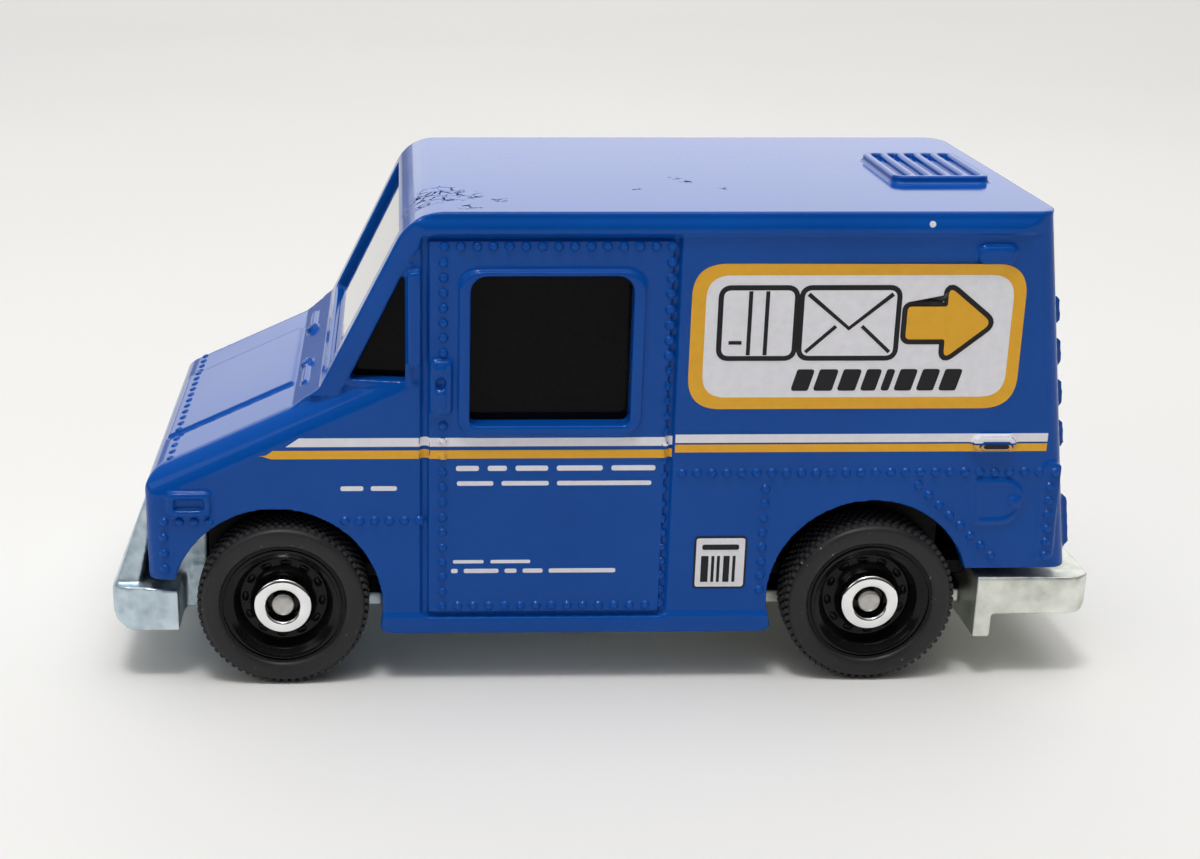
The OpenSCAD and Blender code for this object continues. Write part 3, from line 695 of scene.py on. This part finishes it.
def stripes(side, s):
    """The stripes on the cab and door, and on the load box a little higher."""
    fine = 1
    grid_film("white_stripe_cab_" + side, lambda v: -19.55 + v * 0.87, lambda v: CAB_END,
              lambda x: 17.16, lambda x: 17.76, 250 // fine, 6, WHITE, s, FILM)
    grid_film("yellow_stripe_cab_" + side, lambda v: YELLOW_START + v * 0.88, lambda v: CAB_END,
              lambda x: 16.31 + 0.22 * taper(x), lambda x: 16.89 - 0.30 * taper(x),
              270 // fine, 6, YELLOW, s, FILM)
    grid_film("white_stripe_box_" + side, lambda v: BOX_START, lambda v: BOX_END,
              lambda x: 17.35, lambda x: 17.93, 250 // fine, 6, WHITE, s, FILM)
    grid_film("yellow_stripe_box_" + side, lambda v: BOX_START, lambda v: BOX_END,
              lambda x: 16.68, lambda x: 17.22, 250 // fine, 6, YELLOW, s, FILM)


def badge(side, s):
    """The picture panel on the load box."""
    flip = BADGE_MIDDLE if s == RIGHT else None
    edge = box_loop(*BADGE, 2.2, 12)
    field = box_loop(*FIELD, 1.6, 12)
    outlines = [[ring_of(p, 0.34)] for p in (parcel, envelope, arrow)]
    shapes_film("badge_border_" + side, [[edge, field]], YELLOW, s, FILM_RIM, flip)
    shapes_film("badge_field_" + side, [[ring_of(field, 0.05)]], WHITE, s, FILM, flip)
    shapes_film("badge_outline_" + side, outlines + bars, BLACK, s, FILM_DARK, flip)
    shapes_film("badge_white_" + side, [[parcel], [envelope]], WHITE, s, FILM_PICTURE, flip)
    shapes_film("badge_yellow_" + side, [[arrow]], YELLOW, s, FILM_PICTURE, flip)
    shapes_film("badge_lines_" + side, badge_lines, BLACK, s, FILM_LINES, flip)


def box_handle(side, s):
    """The latch on the load box's stripes: a blue rim, with black ink in its slot as painted shade."""
    rim_r = 0.34
    for name, mat, z, r, lift in (("handle_rim_", BLUE, 17.12, rim_r, FILM_DARK),
                                  # the slot's black ink is painted shade in the latch's recess
                                  ("handle_painted_shade_slot_", BLACK, 17.10, 0.15, FILM_PICTURE)):
        inset = (rim_r - r) * 1.6
        x0, x1 = 26.35 + inset, 28.75 - inset
        lozenge = fillet([(x0, z), (x0 + r, z - r), (x1 - r, z - r), (x1, z), (x1 - r, z + r),
                          (x0 + r, z + r)], 0.12, 3)
        shapes_film(name + side, [[lozenge]], mat, s, lift)


def plate(side, s):
    """The plate with bars ahead of the rear wheel."""
    flip = PLATE_MIDDLE if s == RIGHT else None
    outline = box_loop(*PLATE, 0.35, 5)
    shapes_film("plate_rim_" + side, [[outline]], BLACK, s, FILM, flip)
    shapes_film("plate_field_" + side, [[ring_of(outline, -0.14)]], WHITE, s, FILM_PLATE, flip)
    code = []
    x = 8.32
    for w, gap in ((0.5, 0.2), (0.2, 0.18), (0.2, 0.24), (0.42, 0.2), (0.2, 0.0)):
        code.append([box_loop(x, 7.35, x + w, 9.25)])
        x += w + gap
    code.append([box_loop(8.36, 9.7, 10.86, 10.08, 0.15, 3)])
    shapes_film("plate_bars_" + side, code, BLACK, s, FILM_BARS, flip)


def small_print(side, s):
    """Plain bars on the fender and the door. The door's are mirrored on the right side."""
    shapes_film("fender_marks_" + side, dashes(-15.99, -12.24, 13.75, 14.69, (1.4, 1.6)), WHITE, s, FILM)
    small = (dashes(-8.32, 4.95, 15.09, 16.14, (1.2, 1.0, 1.7, 2.4, 2.3))
             + dashes(-8.25, 4.72, 14.09, 15.01, (2.0, 2.6, 5.2))
             + dashes(-8.48, -3.26, 8.57, 9.26, (2.0, 2.6))
             + dashes(-8.61, 2.53, 7.80, 8.68, (0.5, 2.6, 0.9, 1.5, 5.0)))
    shapes_film("small_marks_" + side, small, WHITE, s, FILM, MARKS_MIDDLE if s == RIGHT else None)


for side, s in (("left", LEFT), ("right", RIGHT)):
    stripes(side, s)
    badge(side, s)
    box_handle(side, s)
    plate(side, s)
    small_print(side, s)

# ---------------------------------------------------------------- wheels
TYRE_R = span("tyre_front_left", 0) / 2
TYRE_W = span("tyre_front_left", 1)
RIM_R = span("rim_front_left", 0) / 2
HUB_R = span("hub_front_left", 0) / 2
TREAD_BLOCKS = 66
DIMPLES = 12


def knob(verts, faces, angle, y, w, length, r0, r1):
    """Adds one tread block with chamfered edges, from radius r0 to r1."""
    chamfer = 0.05
    sections = [(r0, 1, 1), (r1 - chamfer, 1, 1), (r1, 0.72, 0.80)]
    n = len(verts)
    ca, sa = math.cos(angle), math.sin(angle)
    for r, along, across in sections:
        for dt, dy in ((-1, -1), (1, -1), (1, 1), (-1, 1)):
            t = dt * length / 2 * along
            yy = y + dy * w / 2 * across
            verts.append(((r * ca - t * sa) * MM, yy * MM, (r * sa + t * ca) * MM))
    for k in range(2):
        for i in range(4):
            j = (i + 1) % 4
            faces.append((n + k * 4 + i, n + k * 4 + j, n + k * 4 + 4 + j, n + k * 4 + 4 + i))
    faces.append((n + 8, n + 9, n + 10, n + 11))
    faces.append((n + 3, n + 2, n + 1, n))


def tyre_parts():
    R, W = TYRE_R, TYRE_W
    r_in = RIM_R + 0.02
    profile = [(r_in, 0.55), (r_in, 0.26), (r_in + 0.10, 0.12), (r_in + 0.28, 0.04), (4.75, 0.0),
               (5.18, 0.0), (5.38, 0.03), (5.48, 0.12), (5.56, 0.26), (R - 0.21, 0.60),
               (R - 0.19, W / 2), (R - 0.21, W - 0.60), (5.56, W - 0.26), (5.36, W - 0.05), (5.0, W),
               (4.6, W), (r_in + 0.1, W - 0.1), (r_in, W - 0.4)]
    verts, faces = lathe(profile, TURNS)
    # Rows across the tread, as (y, width, how far below full height)
    rows = ((0.40, 0.30, 0.06), (0.84, 0.30, 0.0), (1.27, 0.30, 0.0), (1.70, 0.30, 0.0), (2.13, 0.30, 0.0),
            (2.56, 0.30, 0.0), (3.0, 0.30, 0.06))
    for i in range(TREAD_BLOCKS):
        for k, (y, w, drop) in enumerate(rows):
            angle = 2 * math.pi * (i + (k % 2) / 2) / TREAD_BLOCKS
            knob(verts, faces, angle, y, w, 0.31, R - 0.55, R - drop)
    return verts, faces


def dished_rim():
    """Mesh of the black dished rim, with a stepped lip and a ring of shallow oval dimples."""
    R = RIM_R
    depth = span("rim_front_left", 1)
    front = [(1.2, 1.05), (HUB_R - 0.1, 1.05), (2.04, 1.22), (2.2, 1.38), (2.55, 1.48), (2.95, 1.45),
             (3.2, 1.1), (3.26, 0.78), (3.32, 0.62), (3.42, 0.52), (3.64, 0.44), (3.74, 0.34),
             (3.82, 0.28), (3.98, 0.26), (4.01, 0.40), (4.10, 0.40), (4.12, 0.25), (R, 0.25)]
    profile = front + [(R, depth - 0.2), (R - 0.15, depth), (3.3, depth), (3.2, depth - 0.15), (3.2, 2.2),
                       (1.4, 2.2), (1.4, depth - 0.1), (0.72, depth - 0.1), (0.72, 1.2), (1.1, 1.2)]
    o = put("rim_master", mesh_from("rim_master", *lathe(profile, TURNS)), None)
    bm = bmesh.new()
    for i in range(DIMPLES):
        a = 2 * math.pi * (i + 0.5) / DIMPLES
        m = (Matrix.Rotation(-a, 4, "Y") @ Matrix.Translation((2.62 * MM, 1.34 * MM, 0))
             @ Matrix.Diagonal((0.26, 0.28, 0.44, 1.0)))
        bmesh.ops.create_uvsphere(bm, u_segments=16, v_segments=10, radius=1.0 * MM, matrix=m)
    cm = bpy.data.meshes.new("cutter")
    bm.to_mesh(cm)
    bm.free()
    cutter = bpy.data.objects.new("cutter", cm)
    bpy.context.scene.collection.objects.link(cutter)
    cut = o.modifiers.new("cut", "BOOLEAN")
    cut.operation = "DIFFERENCE"
    cut.object = cutter
    cut.solver = "EXACT"
    o.data = evaluated(o)
    bpy.data.objects.remove(cutter)
    me = o.data
    bpy.data.objects.remove(o)
    return me


def hub_parts():
    R = HUB_R
    foot = span("hub_front_left", 1)
    profile = [(1.17, foot), (1.17, 0.16), (1.19, 0.08), (1.24, 0.03), (1.34, 0.005), (1.50, 0.0),
               (1.72, 0.01), (1.86, 0.04), (1.93, 0.09), (1.965, 0.16), (R, 0.26), (R, foot - 0.03),
               (R - 0.04, foot)]
    return lathe(profile, 96)


rim_mesh = dished_rim()
tyre_vf = tyre_parts()
hub_vf = hub_parts()


def wheel_part(name, me, place, mirrored, body_name, mat, smooth, replaced):
    me.transform(place)
    if mirrored:
        me.flip_normals()
    me.materials.clear()
    o = put(name, me, body_name, [mat], smooth)
    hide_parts(replaced)


for axle in ("front", "rear"):
    for side in ("left", "right"):
        tag = axle + "_" + side
        c = centre("tyre_" + tag)
        lo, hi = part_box("tyre_" + tag)
        mirrored = side == "right"
        face_y = hi.y if mirrored else lo.y
        spin = Matrix.Rotation(rng.uniform(0, 1.0), 4, "Y")
        reflection = Matrix.Scale(-1, 4, (0, 1, 0)) if mirrored else Matrix.Identity(4)
        place = Matrix.Translation((c.x, face_y, c.z)) @ reflection @ spin
        wheel = "wheel_" + tag
        wheel_part("tread_tyre_" + tag, mesh_from("tyre", *tyre_vf), place, mirrored, wheel, TYRE, 40,
                   "tyre_" + tag)
        wheel_part("dished_rim_" + tag, rim_mesh.copy(), place, mirrored, wheel, RIM, 35,
                   "rim_" + tag)
        wheel_part("chrome_hub_" + tag, mesh_from("hub", *hub_vf), place, mirrored, wheel, CHROME, 50,
                   "hub_" + tag)

# Axles with spun ends, and the rivets under the base
for axle in ("front", "rear"):
    c = centre(axle + "_axle")
    half = span(axle + "_axle", 1) / 2
    head = span(axle + "_axle", 0) / 2
    end = [(0.02, half - 0.02), (0.30, half - 0.005), (head - 0.16, half), (head - 0.05, half - 0.05),
           (head, half - 0.15), (head - 0.02, half - 0.43), (0.6, half - 0.45)]
    profile = end + [(0.6, -half + 0.45)] + [(r, -y) for r, y in reversed(end[:-1])] + [(0.02, -half + 0.1)]
    me = mesh_from(axle + "_spun_axle", *lathe(profile, 48))
    me.transform(Matrix.Translation((c.x, 0, c.z)))
    o = put(axle + "_spun_axle", me, axle + "_axle", [STEEL], 40)
    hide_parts(axle + "_axle")
    name = axle + "_rivet"
    c = centre(name)
    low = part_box(name)[0].z
    r = span(name, 0) / 2
    top = span(name, 2)
    profile = [(0.02, 0.0), (0.7, 0.03), (1.1, 0.14), (r - 0.12, 0.34), (r, 0.55), (r - 0.03, 0.68),
               (0.58, 0.69), (0.58, top), (0.02, top)]
    verts, faces = lathe(profile, 48)
    me = mesh_from(name + "_head", [(x + c.x, z, y + low) for x, y, z in verts],
                   [tuple(reversed(f)) for f in faces])
    o = put(name + "_head", me, "chassis", [ZINC], 40)
    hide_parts(name)

# The two inserts show as they are in the CAD; the windshield's faces point forward and up
for name, mat in (("window_insert", GLASS), ("axle_retainer", WELL)):
    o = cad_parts[name]
    o.data.materials.clear()
    o.data.materials.append(mat)
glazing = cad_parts["window_insert"]
glazing.data.materials.append(SHIELD)
for p in glazing.data.polygons:
    if p.normal.x < -0.5 and p.normal.z > 0.2:
        p.material_index = 1

# ---------------------------------------------------------------- stage, light and camera
ground = cad_box[0][2]
FLOOR_HALF = 3
corners = [(FLOOR_HALF * i, FLOOR_HALF * j, ground) for i, j in ((-1, -1), (1, -1), (1, 1), (-1, 1))]
floor = put("floor", mesh_from("floor", corners, [(0, 1, 2, 3)]), None)
fm, ft, fb = material("pale_floor", (0.81, 0.80, 0.775), 0.75)
fc = node(ft, "TexCoord").outputs["Object"]
weave = noise(ft, fc, 1400, 2)
floor_tone = mix(ft, ramp(ft, noise(ft, fc, 6, 2), 0.3, 0.7), (0.80, 0.79, 0.768), (0.83, 0.82, 0.798))
ft.links.new(floor_tone, fb.inputs["Base Color"])
bump(ft, fb, [(weave, 0.05, 0.15)])
floor.data.materials.append(fm)


def area(name, place, aim, size, power):
    lamp = bpy.data.lights.new(name, "AREA")
    lamp.shape = "RECTANGLE"
    lamp.size, lamp.size_y = size
    lamp.energy = power
    o = bpy.data.objects.new(name, lamp)
    bpy.context.scene.collection.objects.link(o)
    o.location = place
    o.rotation_euler = (Vector(aim) - Vector(place)).to_track_quat("-Z", "Y").to_euler()


area("top", (0.02, -0.03, 0.55), (0, 0, 0), (0.6, 0.45), 1.75)
area("key", (-0.06, -0.13, 0.52), (0, 0, 0.01), (0.11, 0.07), 0.85)
area("back", (0.0, 0.70, 0.30), (0, 0, 0.03), (1.5, 0.45), 2.5)
area("left", (-0.45, -0.34, 0.36), (0, 0, 0.01), (0.35, 0.25), 0.3)

# The sky is bright behind the truck and dark toward the camera
world = bpy.data.worlds.new("studio")
bpy.context.scene.world = world
world.use_nodes = True
wt = world.node_tree
bg = wt.nodes["Background"]
wc = wt.nodes.new("ShaderNodeTexCoord")
sep = wt.nodes.new("ShaderNodeSeparateXYZ")
wt.links.new(wc.outputs["Generated"], sep.inputs[0])
rise = ramp(wt, sep.outputs["Y"], -0.35, 0.35)
up = ramp(wt, sep.outputs["Z"], 0.25, 0.85)
col = mix(wt, rise, (0.13, 0.13, 0.135), (0.90, 0.90, 0.90))
wt.links.new(mix(wt, up, col, (0.86, 0.86, 0.86)), bg.inputs["Color"])
bg.inputs["Strength"].default_value = 0.36
bpy.context.scene.view_settings.view_transform = "Standard"

# The camera was solved from the wheels, roof and side lines in the photograph
FRAME_W, FRAME_H = 1200, 859
CENTRE_U, CENTRE_V = 445.018, 424.976  # the pixel that the lens axis meets
cam = bpy.data.cameras.new("camera")
cam.sensor_width = 36
cam.lens = 54.895
cam.shift_x = (FRAME_W / 2 - CENTRE_U) / FRAME_W
cam.shift_y = (CENTRE_V - FRAME_H / 2) / FRAME_W
cam.clip_start = 0.01
cam.clip_end = 10
camera = bpy.data.objects.new("camera", cam)
bpy.context.scene.collection.objects.link(camera)
yaw, pitch, roll = math.radians(1.5213), math.radians(18.6555), math.radians(0.2757)
ahead = Vector((math.sin(yaw) * math.cos(pitch), math.cos(yaw) * math.cos(pitch), -math.sin(pitch)))
level_right = Vector((math.cos(yaw), -math.sin(yaw), 0))
level_up = level_right.cross(ahead)
rolled_right = level_right * math.cos(roll) + level_up * math.sin(roll)
rolled_up = level_up * math.cos(roll) - level_right * math.sin(roll)
rot = Matrix((rolled_right, rolled_up, -ahead)).transposed()
camera.matrix_world = Matrix.Translation((X(-12.087), -128.008 * MM, 57.164 * MM)) @ rot.to_4x4()
bpy.context.scene.camera = camera
